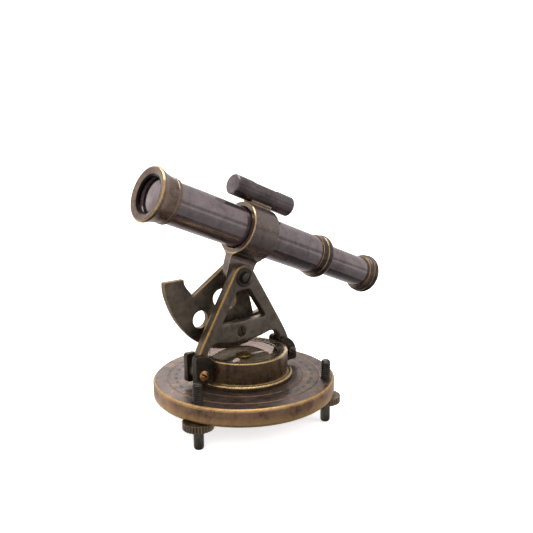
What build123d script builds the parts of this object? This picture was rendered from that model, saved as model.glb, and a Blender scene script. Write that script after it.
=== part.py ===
from build123d import *
import os
from math import sin, cos, radians, pi, degrees, asin

# Small surveying instrument: a telescope with a level on top, tilting on an A-frame
# over a compass drum and a base plate with three levelling screws.
# Millimetres, +Z up. The origin is on the vertical axis of the base, in the plane of the
# levelling-screw tips. +X is the eyepiece side, -X the objective side, +Y the quadrant
# side (rear) and -Y the front.

os.makedirs("parts", exist_ok=True)

# ---------------------------------------------------------------- dimensions
FIT = 0.02                 # usual clearance between mating surfaces

# base plate and levelling screws
BASE_R = 45.3
BASE_T = 8.7
Z_TOP = 22.7               # upper face of the base plate
Z_BOT = Z_TOP - BASE_T
GROOVE_RADII = (38.0, 29.8)
GROOVE_HALF_W = 0.25
GROOVE_DEPTH = 0.3
WEB_RI = 5.0               # inner radius of the turned plate
WEB_R = 5.5                # centre disc that closes it

SCREW_CIRCLE_R = 41.0
SCREW_ANGLES = (-158.7, -48.1, 76.6)
SCREW_SPOTS = [
    (SCREW_CIRCLE_R * cos(radians(a)), SCREW_CIRCLE_R * sin(radians(a))) for a in SCREW_ANGLES
]
SCREW_R = 2.4              # thread crest
SCREW_ROOT_R = 2.0
SCREW_FOOT_R = 2.42        # plain stem below the wheel
SCREW_COLLAR_R = 2.2
SCREW_PITCH = 1.06
SCREW_UP = 9.4             # thread standing above the plate
SCREW_HOLE_R = 2.45
WHEEL_R = 7.35
WHEEL_T = 3.3
WHEEL_TEETH = 32
WHEEL_TOOTH_H = 0.45
WHEEL_BOSS_R = 4.2
WHEEL_BOSS_T = 0.9
Z_WHEEL = Z_BOT - 0.25 - WHEEL_T   # underside of the knurled rim

# compass drum; heights are above the base plate
DRUM_R = 22.0
DRUM_RI = 20.0
DRUM_H = 13.0
DRUM_FLOOR_H = 2.5
FLANGE_R = 24.25
FLANGE_T = 2.2
SEAT = 0.05                # running gap under the drum
LEDGE_RI = 18.5
INSERT_R = DRUM_RI - 0.05  # dial, spacer, glass and glass ring
DIAL_H = 8.2
DIAL_T = 0.5
SPACER_H = DIAL_H + DIAL_T
GLASS_H = 10.9
GLASS_T = 1.0
GLASS_TOP = GLASS_H + GLASS_T
STUD_R = 3.0
STUD_HOLE_R = STUD_R + FIT
STUD_FOOT_H = -BASE_T - 6.2
WASHER_GAP = 0.05          # centre washer below the base plate
WASHER_T = 1.0
CENTRE_NUT_T = 4.0
PIVOT_SOCKET_H = 1.0       # bottom of the needle-pivot socket in the stud
NEEDLE_ANGLE = radians(-6.0)
NEEDLE_HALF_L = 16.5
NEEDLE_HALF_W = 1.7
NEEDLE_SHOULDER = 2.2      # half length of the parallel middle
NEEDLE_HUB_R = 1.4

# clevis brackets
BRACKET_Y0 = -4.7
BRACKET_Y1 = 5.8
BRACKET_SCREW_Y = 0.9
BRACKET_SCREW_Z = Z_TOP + 4.9
BRACKET_SCREW_R = 1.0
CLEVIS_SCREW_R = 1.3
CLEVIS_HEAD_R = 2.55

# A-frame
FRAME_Y0 = -1.5            # front face
FRAME_Y1 = 3.1             # rear face
PIVOT_H = 50.0             # tilt axis above the base plate
Z_PIVOT = Z_TOP + PIVOT_H
APEX_R = 6.3
FOOT_X = 27.7              # clevis screw position
FOOT_H = 7.3
FOOT_R = 2.7
Z_FOOT = Z_TOP + FOOT_H
AXLE_R = 2.0
AXLE_HEAD_R = 2.85
CROSS_X = -2.0             # crossbar screw position
CROSS_H = 23.0
Z_CROSS = Z_TOP + CROSS_H
CROSS_SCREW_R = 1.2

# telescope group
TILT = 21.9                # objective end up at rest
TELE_RISE = 22.75          # telescope axis above the tilt axis
TELE_Y = 4.9
NECK_Y0 = 3.15
NECK_Y1 = 7.6
COLLAR_R = 13.3
COLLAR_HALF_L = 8.3
TUBE_R = 10.15
TUBE_RI = 9.1
TUBE_FRONT = 59.0          # places along the telescope axis, positive to the objective
TUBE_REAR = -47.2
DRAW_R = 8.2
DRAW_RI = DRAW_R - 0.9
DRAW_FRONT = -20.0
DRAW_REAR = -89.2
LENS_R = TUBE_RI - 0.05
EYE_LENS_R = 7.2
LEVEL_R = 5.15
LEVEL_RI = 4.1
LEVEL_RISE = 18.8          # level axis above the telescope axis
LEVEL_SHIFT = 0.6          # level centre towards the eyepiece
LEVEL_HALF_L = 19.0
LEVEL_CAP_L = 3.6
SADDLE_HALF_L = 6.5

# quadrant plate
SECTOR_T = 2.8
SECTOR_R = 37.75
HOOK_R = 39.9
HUB_R = 6.9
SPOKE_ANGLE = 35.5
NOTCH_R = 25.5
HOLE_CIRCLE_R = 28.0
HOLE_ANGLE = 24.5
RIVET_X = 4.9
RIVET_R = 0.9
SECTOR_BACK = NECK_Y1 + SECTOR_T
REAR_WASHER_T = 0.7
PIVOT_NUT_T = 3.0

# ------------------------------------------------------------ working planes
fore = Vector(-cos(radians(TILT)), 0, sin(radians(TILT)))    # towards the objective
above = Vector(sin(radians(TILT)), 0, cos(radians(TILT)))    # square to it, upwards


def facing_front(x, y, z=Z_TOP):
    """Vertical plane facing -Y: local x = X, local y = height above z."""
    return Plane(origin=(x, y, z), x_dir=(1, 0, 0), z_dir=(0, -1, 0))


def level_plane(x, z):
    """Horizontal plane for turned profiles about a Y axis: local x = X, local y = Y."""
    return Plane(origin=(x, 0, z), x_dir=(1, 0, 0), z_dir=(0, 0, 1))


def axis_along_y(x, z):
    return Axis((x, 0, z), (0, 1, 0))


def pivot_plane(y):
    """Plane across the tilt axis: local x to the objective, local y to the telescope."""
    return Plane(origin=(0, y, Z_PIVOT), x_dir=fore, z_dir=(0, 1, 0))


def across(origin, back):
    """Plane across the telescope, `back` behind origin: local x = -Y, local y upwards."""
    return Plane(origin=origin - fore * back, x_dir=(0, -1, 0), z_dir=fore)


def facing_rear(y):
    """Vertical plane at the tilt axis facing +Y."""
    return Plane(origin=(0, y, Z_PIVOT), x_dir=(1, 0, 0), z_dir=(0, 1, 0))


drum = facing_front(0, 0)    # profiles as (radius, height above the base plate)

# profiles on these two planes are (place along the axis, radius)
tele_origin = Vector(0, TELE_Y, Z_PIVOT) + above * TELE_RISE
tele = Plane(origin=tele_origin, x_dir=fore, z_dir=(0, 1, 0))
tele_axis = Axis(tele_origin, fore)
level_origin = tele_origin + above * LEVEL_RISE - fore * LEVEL_SHIFT
level = Plane(origin=level_origin, x_dir=fore, z_dir=(0, 1, 0))
level_axis = Axis(level_origin, fore)


# ------------------------------------------------------------------- helpers
def save(builder, name):
    builder.part.label = name
    export_step(builder.part, f"parts/{name}.step")


def turned(name, plane, axis, outline):
    """Piece made by revolving one closed straight-sided outline."""
    with BuildPart() as piece:
        with BuildSketch(plane):
            with BuildLine():
                Polyline(*outline, close=True)
            make_face()
        revolve(axis=axis)
    save(piece, name)


def flat_ring(name, plane, outer_r, inner_r, thickness):
    with BuildPart() as piece:
        with BuildSketch(plane):
            Circle(outer_r)
            Circle(inner_r, mode=Mode.SUBTRACT)
        extrude(amount=thickness)
    save(piece, name)


def hex_nut(name, plane, half_flats, bore_r, thickness):
    with BuildPart() as piece:
        with BuildSketch(plane):
            RegularPolygon(radius=half_flats, side_count=6, major_radius=False)
            Circle(bore_r, mode=Mode.SUBTRACT)
        extrude(amount=thickness)
    save(piece, name)


# ------------------------------------------------------------------ base plate
plate_outline = [
    (WEB_RI, Z_BOT), (BASE_R - 1.2, Z_BOT), (BASE_R, Z_BOT + 1.2),
    (BASE_R, Z_TOP - 1.0), (BASE_R - 1.0, Z_TOP),
]
for groove_r in GROOVE_RADII:
    plate_outline += [
        (groove_r + GROOVE_HALF_W, Z_TOP),
        (groove_r, Z_TOP - GROOVE_DEPTH),
        (groove_r - GROOVE_HALF_W, Z_TOP),
    ]
plate_outline.append((WEB_RI, Z_TOP))

with BuildPart() as base_plate:
    with BuildSketch(Plane.XZ):
        with BuildLine():
            Polyline(*plate_outline, close=True)
        make_face()
    revolve(axis=Axis.Z)
    # central web, bored for the centre stud
    with BuildSketch(Plane.XY.offset(Z_BOT)):
        Circle(WEB_R)
    extrude(amount=BASE_T)
    with Locations((0, 0, Z_TOP)):
        Hole(radius=STUD_R + 0.06)
    for x, y in SCREW_SPOTS:
        with Locations((x, y, Z_TOP)):
            Hole(radius=SCREW_HOLE_R)
save(base_plate, "base_plate")


# ------------------------------------------- levelling screws and thumb wheels
def levelling_screw(name, x, y):
    z_end = Z_TOP + SCREW_UP
    z = Z_BOT - 0.2            # the thread starts above the wheel's plain seat
    outline = [               # (radius, z)
        (0, 0), (1.3, 0), (2.0, 0.35), (SCREW_FOOT_R, 1.3),
        (SCREW_FOOT_R, Z_WHEEL - 1.15), (SCREW_COLLAR_R, Z_WHEEL - 0.95),
        (SCREW_COLLAR_R, Z_WHEEL - 0.6), (SCREW_ROOT_R, Z_WHEEL - 0.2),
        (SCREW_ROOT_R, z),
    ]
    while z + SCREW_PITCH < z_end - 0.6:
        outline += [
            (SCREW_ROOT_R, z + 0.16), (SCREW_R, z + 0.50),
            (SCREW_R, z + 0.62), (SCREW_ROOT_R, z + 0.96),
        ]
        z += SCREW_PITCH
    outline += [(SCREW_ROOT_R, z_end - 0.5), (1.2, z_end), (0, z_end)]
    turned(name, facing_front(x, y, 0), Axis((x, y, 0), (0, 0, 1)), outline)


def thumb_wheel(name, x, y):
    tooth_angle = 2 * pi / WHEEL_TEETH
    # one tooth: (fraction of the tooth angle, radius)
    tooth = ((-0.22, WHEEL_R), (0.22, WHEEL_R), (0.5, WHEEL_R - WHEEL_TOOTH_H))
    rim = [
        (r * cos((k + part) * tooth_angle), r * sin((k + part) * tooth_angle))
        for k in range(WHEEL_TEETH)
        for part, r in tooth
    ]
    with BuildPart() as wheel:
        with BuildSketch(Plane(origin=(x, y, Z_WHEEL))):
            with BuildLine():
                Polyline(*rim, close=True)
            make_face()
            Circle(SCREW_ROOT_R + FIT, mode=Mode.SUBTRACT)
        extrude(amount=WHEEL_T)
        # short boss below the knurled rim
        with BuildSketch(Plane(origin=(x, y, Z_WHEEL))):
            Circle(WHEEL_BOSS_R)
            Circle(SCREW_COLLAR_R + 0.04, mode=Mode.SUBTRACT)
        extrude(amount=-WHEEL_BOSS_T)
    save(wheel, name)


for i, (x, y) in enumerate(SCREW_SPOTS, start=1):
    levelling_screw(f"levelling_screw_{i}", x, y)
    thumb_wheel(f"thumb_wheel_{i}", x, y)

# ---------------------------------------------------------------- compass drum
with BuildPart() as compass_drum:
    with BuildSketch(drum):
        with BuildLine():
            Polyline(
                (STUD_HOLE_R, SEAT), (FLANGE_R - 0.2, SEAT), (FLANGE_R, SEAT + 0.2),
                (FLANGE_R, FLANGE_T - 0.9),
            )
            ThreePointArc(
                (FLANGE_R, FLANGE_T - 0.9),
                (FLANGE_R - 0.26, FLANGE_T - 0.26),
                (FLANGE_R - 0.9, FLANGE_T),
            )
            Polyline(
                (FLANGE_R - 0.9, FLANGE_T), (DRUM_R + 0.4, FLANGE_T), (DRUM_R, FLANGE_T + 0.4),
                (DRUM_R, DRUM_H - 0.4), (DRUM_R - 0.4, DRUM_H),
                (DRUM_RI + 0.3, DRUM_H), (DRUM_RI, DRUM_H - 0.3),
                (DRUM_RI, DIAL_H), (LEDGE_RI, DIAL_H), (LEDGE_RI, DRUM_FLOOR_H),
                (STUD_HOLE_R, DRUM_FLOOR_H), (STUD_HOLE_R, SEAT),
            )
        make_face()
    revolve(axis=Axis.Z)
    # clearance holes for the bracket screws
    for side in (-1, 1):
        hole_start = (side * 16.0, BRACKET_SCREW_Y, BRACKET_SCREW_Z)
        with BuildSketch(Plane(origin=hole_start, z_dir=(side, 0, 0))):
            Circle(BRACKET_SCREW_R + FIT)
        extrude(amount=8.0, mode=Mode.SUBTRACT)
save(compass_drum, "compass_drum")

# flat head inside the drum, shank through drum floor and base
turned("centre_stud", drum, Axis.Z, [
    (0, STUD_FOOT_H), (2.3, STUD_FOOT_H), (STUD_R, STUD_FOOT_H + 0.7), (STUD_R, DRUM_FLOOR_H),
    (6.0, DRUM_FLOOR_H), (6.0, 3.5), (5.5, 4.0), (0.62, 4.0),
    (0.62, PIVOT_SOCKET_H), (0, PIVOT_SOCKET_H),
])

washer_z = Z_BOT - WASHER_GAP - WASHER_T
with BuildPart() as centre_washer:
    with BuildSketch(Plane.XY.offset(washer_z)):
        Circle(7.5)
        Circle(STUD_HOLE_R, mode=Mode.SUBTRACT)
    extrude(amount=WASHER_T)
    rims = centre_washer.edges().filter_by(GeomType.CIRCLE).group_by(SortBy.RADIUS)[-1]
    chamfer(rims, length=0.25)
save(centre_washer, "centre_washer")

hex_nut("centre_nut", Plane.XY.offset(washer_z - CENTRE_NUT_T), 5.0, STUD_HOLE_R, CENTRE_NUT_T)

# ------------------------------------------------------------- compass insides
flat_ring("dial_plate", Plane.XY.offset(Z_TOP + DIAL_H), INSERT_R, 0.8, DIAL_T)

turned("spacer_ring", drum, Axis.Z, [
    (18.7, SPACER_H), (INSERT_R, SPACER_H), (INSERT_R, GLASS_H),
    (19.0, GLASS_H), (18.7, GLASS_H - 0.3),
])

with BuildPart() as compass_glass:
    with BuildSketch(Plane.XY.offset(Z_TOP + GLASS_H)):
        Circle(INSERT_R)
    extrude(amount=GLASS_T)
save(compass_glass, "compass_glass")

turned("glass_ring", drum, Axis.Z, [
    (17.2, GLASS_TOP), (INSERT_R, GLASS_TOP), (INSERT_R, 12.7), (19.3, 12.7),
    (19.1, 12.45), (18.4, 12.45), (18.2, 12.2), (17.4, 12.15),
])

turned("needle_pivot", drum, Axis.Z, [
    (0, PIVOT_SOCKET_H), (0.6, PIVOT_SOCKET_H), (0.6, 8.9), (0.35, 9.3), (0.05, 10.1), (0, 10.1),
])

needle_plane = Plane(
    origin=(0, 0, Z_TOP + 9.55),
    x_dir=(cos(NEEDLE_ANGLE), sin(NEEDLE_ANGLE), 0),
    z_dir=(0, 0, 1),
)
with BuildPart() as compass_needle:
    with BuildSketch(needle_plane):
        with BuildLine():
            Polyline(
                (-NEEDLE_HALF_L, 0),
                (-NEEDLE_SHOULDER, -NEEDLE_HALF_W), (NEEDLE_SHOULDER, -NEEDLE_HALF_W),
                (NEEDLE_HALF_L, 0),
                (NEEDLE_SHOULDER, NEEDLE_HALF_W), (-NEEDLE_SHOULDER, NEEDLE_HALF_W),
                close=True,
            )
        make_face()
        Circle(NEEDLE_HUB_R + FIT, mode=Mode.SUBTRACT)
    extrude(amount=0.3)
save(compass_needle, "compass_needle")

turned("needle_cap", drum, Axis.Z, [
    (0.75, 9.1), (NEEDLE_HUB_R, 9.1), (NEEDLE_HUB_R, 9.86), (3.9, 9.86), (4.0, 10.0),
    (4.0, 10.4), (3.7, 10.65), (0, 10.65), (0, 10.15), (0.12, 10.1), (0.75, 9.3),
])

# ------------------------------------------------------------- clevis brackets
# curves of each outline, points as (X, height above the base plate)
LEFT_BRACKET = (
    (Polyline, [(-19.0, 2.62), (-31.0, 2.62), (-31.7, 3.3), (-31.7, 15.7)]),
    (ThreePointArc, [(-31.7, 15.7), (-31.4, 16.45), (-30.7, 16.75)]),
    (Line, [(-30.7, 16.75), (-27.2, 16.6)]),
    (ThreePointArc, [(-27.2, 16.6), (-24.6, 15.6), (-22.6, 13.7)]),
    (Polyline, [(-22.6, 13.7), (-21.4, 12.6), (-19.0, 12.6), (-19.0, 2.62)]),
)
RIGHT_BRACKET = (
    (Polyline, [(19.0, 2.62), (30.6, 2.62), (31.2, 3.3), (31.2, 6.6)]),
    (ThreePointArc, [(31.2, 6.6), (29.9, 10.6), (27.4, 13.5)]),
    (ThreePointArc, [(27.4, 13.5), (25.8, 14.7), (23.8, 15.2)]),
    (ThreePointArc, [(23.8, 15.2), (22.0, 14.9), (21.2, 13.5)]),
    (Polyline, [(21.2, 13.5), (20.9, 12.6), (19.0, 12.6), (19.0, 2.62)]),
)


def bracket(name, side, outline):
    with BuildPart() as piece:
        with BuildSketch(facing_front(0, BRACKET_Y1)):
            with BuildLine():
                for curve, points in outline:
                    curve(*points)
            make_face()
        extrude(amount=BRACKET_Y1 - BRACKET_Y0)
        # seat hollowed to the drum wall
        with BuildSketch(Plane.XY.offset(Z_TOP)):
            Circle(DRUM_R + FIT)
        extrude(amount=30, mode=Mode.SUBTRACT)
        # slot for the foot of the A-frame
        with BuildSketch(facing_front(0, FRAME_Y1 + FIT)):
            with Locations((side * 28.4, 10.0)):
                Rectangle(10.8, 20.0)
            with Locations((side * 27.0, 15.0)):
                Rectangle(12.6, 10.0)
        extrude(amount=FRAME_Y1 - FRAME_Y0 + 2 * FIT, mode=Mode.SUBTRACT)
        # cross hole for the clevis screw
        with BuildSketch(facing_front(0, BRACKET_Y1 + 1)):
            with Locations((side * FOOT_X, FOOT_H)):
                Circle(CLEVIS_SCREW_R + FIT)
        extrude(amount=14, mode=Mode.SUBTRACT)
        # hole for the bracket screw
        hole_start = (side * 21.0, BRACKET_SCREW_Y, BRACKET_SCREW_Z)
        with BuildSketch(Plane(origin=hole_start, z_dir=(side, 0, 0))):
            Circle(BRACKET_SCREW_R + FIT)
        extrude(amount=2.0, mode=Mode.SUBTRACT)
    save(piece, name)


def clevis_screw(name, x):
    """Slotted screw: domed head on the front cheek, plain end just behind the rear cheek."""
    y_end = BRACKET_Y1 + 0.6
    y_seat = BRACKET_Y0 - FIT
    y_dome = BRACKET_Y0 - 2.05
    with BuildPart() as screw:
        with BuildSketch(level_plane(x, Z_FOOT)):
            with BuildLine():
                Polyline(
                    (0, y_end), (1.0, y_end), (CLEVIS_SCREW_R, y_end - 0.3),
                    (CLEVIS_SCREW_R, y_seat), (CLEVIS_HEAD_R, y_seat),
                    (CLEVIS_HEAD_R, BRACKET_Y0 - 0.9),
                )
                ThreePointArc(
                    (CLEVIS_HEAD_R, BRACKET_Y0 - 0.9), (1.5, BRACKET_Y0 - 1.75), (0, y_dome)
                )
                Line((0, y_dome), (0, y_end))
            make_face()
        revolve(axis=axis_along_y(x, Z_FOOT))
        with BuildSketch(facing_front(x, BRACKET_Y0 - 2.2, Z_FOOT)):
            Rectangle(6.0, 0.7, rotation=-38)
        extrude(amount=-1.1, mode=Mode.SUBTRACT)
    save(screw, name)


def bracket_screw(name, side):
    """Pan-head screw from inside the drum into the bracket."""
    # (distance from the drum axis, radius)
    profile = (
        (17.1, 0), (17.1, 1.5), (17.4, 1.8), (18.24, 1.8), (18.24, BRACKET_SCREW_R),
        (22.7, BRACKET_SCREW_R), (22.9, 0.8), (22.9, 0),
    )
    with BuildPart() as screw:
        with BuildSketch(facing_front(0, BRACKET_SCREW_Y, BRACKET_SCREW_Z)):
            with BuildLine():
                Polyline(*[(side * x, r) for x, r in profile], close=True)
            make_face()
        revolve(axis=Axis((0, BRACKET_SCREW_Y, BRACKET_SCREW_Z), (1, 0, 0)))
        slot_start = (side * 17.0, BRACKET_SCREW_Y, BRACKET_SCREW_Z)
        with BuildSketch(Plane(origin=slot_start, z_dir=(side, 0, 0))):
            Rectangle(0.5, 5.0)
        extrude(amount=0.8, mode=Mode.SUBTRACT)
    save(screw, name)


for label, side, outline in (("left", -1, LEFT_BRACKET), ("right", 1, RIGHT_BRACKET)):
    bracket(f"bracket_{label}", side, outline)
    clevis_screw(f"clevis_screw_{label}", side * FOOT_X)
    bracket_screw(f"bracket_screw_{label}", side)

# --------------------------------------------------------------------- A-frame
# outline points as (X, height above the base plate)
apex_x = APEX_R * cos(radians(33))
apex_h = PIVOT_H + APEX_R * sin(radians(33))
foot_outer = FOOT_X + FOOT_R
foot_inner = FOOT_X - FOOT_R
# underside of the crossbar and the inner edges of the legs, right to left
FRAME_UNDERSIDE = (
    (23.2, 12.6), (21.9, 17.2), (18.6, 19.6), (12.0, 18.9), (0, 17.9),
    (-12.0, 18.9), (-18.6, 19.6), (-21.9, 17.2), (-23.2, 12.6),
)

with BuildPart() as a_frame:
    with BuildSketch(facing_front(0, FRAME_Y1)):
        with BuildLine():
            Line((apex_x, apex_h), (16.3, 35.5))
            Line((16.3, 35.5), (23.4, 23.6))
            Spline(
                (23.4, 23.6), (27.0, 17.2), (29.1, 12.2), (foot_outer, FOOT_H),
                tangents=((0.52, -0.86), (0, -1)),
            )
            ThreePointArc((foot_outer, FOOT_H), (FOOT_X, FOOT_H - FOOT_R), (foot_inner, FOOT_H))
            Spline(
                (foot_inner, FOOT_H), *FRAME_UNDERSIDE, (-foot_inner, FOOT_H),
                tangents=((0, 1), (0, -1)),
            )
            ThreePointArc(
                (-foot_inner, FOOT_H), (-FOOT_X, FOOT_H - FOOT_R), (-foot_outer, FOOT_H)
            )
            Spline(
                (-foot_outer, FOOT_H), (-29.1, 12.2), (-27.0, 17.2), (-23.4, 23.6),
                tangents=((0, 1), (0.52, 0.86)),
            )
            Line((-23.4, 23.6), (-16.3, 35.5))
            Line((-16.3, 35.5), (-apex_x, apex_h))
            ThreePointArc((-apex_x, apex_h), (0, PIVOT_H + APEX_R), (apex_x, apex_h))
        make_face()
        # opening between the legs, above the crossbar
        with BuildSketch(mode=Mode.PRIVATE) as opening:
            with BuildLine():
                Polyline((-4.7, 44.0), (-14.5, 28.0), (13.7, 28.0), (3.3, 44.0), close=True)
            make_face()
            fillet(opening.vertices().group_by(Axis.Y)[0], 0.9)
            fillet(opening.vertices().group_by(Axis.Y)[-1], 2.6)
        add(opening.sketch, mode=Mode.SUBTRACT)
        with Locations((0, PIVOT_H)):
            Circle(AXLE_R + 0.05, mode=Mode.SUBTRACT)
        with Locations((-FOOT_X, FOOT_H), (FOOT_X, FOOT_H)):
            Circle(CLEVIS_SCREW_R + FIT, mode=Mode.SUBTRACT)
    extrude(amount=FRAME_Y1 - FRAME_Y0)
    # countersunk hole for the crossbar screw
    with BuildSketch(level_plane(CROSS_X, Z_CROSS)):
        with BuildLine():
            Polyline(
                (0, FRAME_Y1 + 0.5), (CROSS_SCREW_R + FIT, FRAME_Y1 + 0.5),
                (CROSS_SCREW_R + FIT, FRAME_Y0 + 1.62), (2.84, FRAME_Y0),
                (2.84, FRAME_Y0 - 0.5), (0, FRAME_Y0 - 0.5), close=True,
            )
        make_face()
    revolve(axis=axis_along_y(CROSS_X, Z_CROSS), mode=Mode.SUBTRACT)
    outer_front = a_frame.faces().sort_by(Axis.Y)[0].outer_wire().edges()
    chamfer(outer_front, length=0.35)
save(a_frame, "a_frame")

with BuildPart() as crossbar_screw:
    with BuildSketch(level_plane(CROSS_X, Z_CROSS)):
        with BuildLine():
            Polyline(
                (0, 6.4), (0.9, 6.4), (CROSS_SCREW_R, 6.1), (CROSS_SCREW_R, FRAME_Y0 + 1.65),
                (2.74, FRAME_Y0 + 0.05), (2.6, FRAME_Y0 - 0.1), (0, FRAME_Y0 - 0.25), close=True,
            )
        make_face()
    revolve(axis=axis_along_y(CROSS_X, Z_CROSS))
    with BuildSketch(facing_front(CROSS_X, FRAME_Y0 - 0.6, Z_CROSS)):
        Rectangle(0.6, 7.0, rotation=17)
    extrude(amount=-1.3, mode=Mode.SUBTRACT)
save(crossbar_screw, "crossbar_screw")

# block behind the crossbar that steadies the quadrant
guide_back = NECK_Y1 - 0.05
with BuildPart() as guide_block:
    with BuildSketch(facing_front(0, guide_back)):
        with Locations((CROSS_X, CROSS_H - 0.9)):
            RectangleRounded(13.0, 5.0, 1.2)
        with Locations((CROSS_X, CROSS_H)):
            Circle(CROSS_SCREW_R + FIT, mode=Mode.SUBTRACT)
    extrude(amount=guide_back - FRAME_Y1 - 0.01)
save(guide_block, "guide_block")

# --------------------------------------------------------------- tilt pivot
axle_end = SECTOR_BACK + REAR_WASHER_T + PIVOT_NUT_T + 0.9
head_seat = FRAME_Y0 - 0.85
with BuildPart() as pivot_screw:
    with BuildSketch(level_plane(0, Z_PIVOT)):
        with BuildLine():
            Polyline(
                (0, axle_end), (1.6, axle_end), (AXLE_R, axle_end - 0.4), (AXLE_R, head_seat),
                (AXLE_HEAD_R, head_seat), (AXLE_HEAD_R, FRAME_Y0 - 2.4),
            )
            ThreePointArc(
                (AXLE_HEAD_R, FRAME_Y0 - 2.4), (1.7, FRAME_Y0 - 3.3), (0, FRAME_Y0 - 3.6)
            )
            Line((0, FRAME_Y0 - 3.6), (0, axle_end))
        make_face()
    revolve(axis=axis_along_y(0, Z_PIVOT))
    with BuildSketch(facing_front(0, FRAME_Y0 - 3.8, Z_PIVOT)):
        Rectangle(7.0, 0.7, rotation=60)
    extrude(amount=-1.5, mode=Mode.SUBTRACT)
save(pivot_screw, "pivot_screw")

with BuildPart() as pivot_washer:
    with BuildSketch(facing_front(0, FRAME_Y0 - 0.05, Z_PIVOT)):
        Circle(4.7)
        Circle(AXLE_R + FIT, mode=Mode.SUBTRACT)
    extrude(amount=0.78)
    rims = pivot_washer.edges().filter_by(GeomType.CIRCLE).group_by(SortBy.RADIUS)[-1]
    chamfer(rims.sort_by(Axis.Y)[0], length=0.25)
save(pivot_washer, "pivot_washer")

flat_ring("rear_washer", facing_rear(SECTOR_BACK), 3.5, AXLE_R + FIT, REAR_WASHER_T)
hex_nut(
    "pivot_nut", facing_rear(SECTOR_BACK + REAR_WASHER_T), 3.5, AXLE_R + FIT, PIVOT_NUT_T
)

# ------------------------------------------------------- telescope collar + neck
# section of the flared root across the telescope: (-Y from its axis, height above it)
NECK_FLARE = (
    (1.9, -15.2), (2.2, -14.1), (3.3, -13.2), (5.0, -12.45), (5.0, -10.9),
    (-5.4, -10.9), (-5.4, -12.3), (-4.1, -12.95), (-3.0, -14.0), (-2.65, -15.2),
)

with BuildPart() as telescope_collar:
    with BuildSketch(tele):
        with BuildLine():
            Polyline(
                (-COLLAR_HALF_L, TUBE_R + FIT), (-COLLAR_HALF_L, COLLAR_R - 0.5),
                (-COLLAR_HALF_L + 0.5, COLLAR_R), (COLLAR_HALF_L - 0.4, COLLAR_R),
                (COLLAR_HALF_L, COLLAR_R - 0.4), (COLLAR_HALF_L, TUBE_R + 0.85),
                (COLLAR_HALF_L - 1.2, TUBE_R + FIT), close=True,
            )
        make_face()
    revolve(axis=tele_axis)
    # neck down to the tilt axis
    with BuildSketch(pivot_plane(NECK_Y0)):
        with BuildLine():
            Line((-8.3, 12.0), (-8.3, 8.0))
            Spline((-8.3, 8.0), (-8.0, 4.0), (-7.6, 0.0), tangents=((0, -1), (0, -1)))
            ThreePointArc((-7.6, 0), (0, -7.6), (7.6, 0))
            Spline((7.6, 0.0), (8.0, 4.0), (8.3, 8.0), tangents=((0, 1), (0, 1)))
            Line((8.3, 8.0), (8.3, 12.0))
            Line((8.3, 12.0), (-8.3, 12.0))
        make_face()
    extrude(amount=NECK_Y1 - NECK_Y0)
    # flared root where the neck runs into the ring
    with BuildSketch(across(tele_origin, COLLAR_HALF_L - FIT)):
        with BuildLine():
            Polyline(*NECK_FLARE, close=True)
        make_face()
    extrude(amount=2 * (COLLAR_HALF_L - FIT))
    # tube bore kept clear
    with BuildSketch(Plane(origin=tele_origin - fore * 20, x_dir=(0, 1, 0), z_dir=fore)):
        Circle(TUBE_R + FIT)
    extrude(amount=40, mode=Mode.SUBTRACT)
    # axle and rivet holes
    with BuildSketch(pivot_plane(NECK_Y0 - 1)):
        Circle(AXLE_R + FIT)
        with Locations((-RIVET_X, 0), (RIVET_X, 0)):
            Circle(RIVET_R + FIT)
    extrude(amount=12, mode=Mode.SUBTRACT)
save(telescope_collar, "telescope_collar")


# --------------------------------------------------------------- quadrant plate
def polar(r, angle):
    """Point at radius r, angle from straight below the axis, positive to the objective."""
    return (r * sin(radians(angle)), -r * cos(radians(angle)))


notch_angle = degrees(asin(HUB_R / NOTCH_R)) + SPOKE_ANGLE
hub_x, hub_y = polar(HUB_R, SPOKE_ANGLE + 90)    # spoke edge touches the hub, objective side

with BuildPart() as quadrant_plate:
    with BuildSketch(pivot_plane(NECK_Y1)):
        with BuildLine():
            Line((hub_x, hub_y), polar(NOTCH_R, notch_angle))
            Spline(
                polar(NOTCH_R, notch_angle), polar(27.6, 62), polar(29.2, 71.6),
                tangents=((0.62, 0.78), (0.30, 0.95)),
            )
            Line(polar(29.2, 71.6), polar(HOOK_R - 0.6, 70.7))
            Line(polar(HOOK_R - 0.6, 70.7), polar(HOOK_R, 69.9))
            # the hook swells outwards beyond the concentric edge
            Spline(
                polar(HOOK_R, 69.9), polar(SECTOR_R + 1.4, 56.0), polar(SECTOR_R + 0.65, 44.0),
                polar(SECTOR_R + 0.15, 33.0), polar(SECTOR_R, 24.0),
                tangents=((-0.30, -0.95), (-cos(radians(24.0)), -sin(radians(24.0)))),
            )
            ThreePointArc(polar(SECTOR_R, 24.0), polar(SECTOR_R, -18), polar(SECTOR_R, -62.0))
            Line(polar(SECTOR_R, -62.0), polar(27.4, -61.0))
            Line(polar(27.4, -61.0), polar(NOTCH_R, -notch_angle))
            Line(polar(NOTCH_R, -notch_angle), (-hub_x, hub_y))
            ThreePointArc((-hub_x, hub_y), (0, HUB_R), (hub_x, hub_y))
        make_face()
        # lightening holes
        with Locations(polar(HOLE_CIRCLE_R, HOLE_ANGLE), polar(HOLE_CIRCLE_R, -HOLE_ANGLE)):
            Circle(4.35, mode=Mode.SUBTRACT)
        with Locations((0.9, -12.9)):
            Ellipse(7.2, 5.3, mode=Mode.SUBTRACT)
        # axle and rivet holes
        Circle(AXLE_R + FIT, mode=Mode.SUBTRACT)
        with Locations((-RIVET_X, 0), (RIVET_X, 0)):
            Circle(RIVET_R + FIT, mode=Mode.SUBTRACT)
    extrude(amount=SECTOR_T)
save(quadrant_plate, "quadrant_plate")

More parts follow.
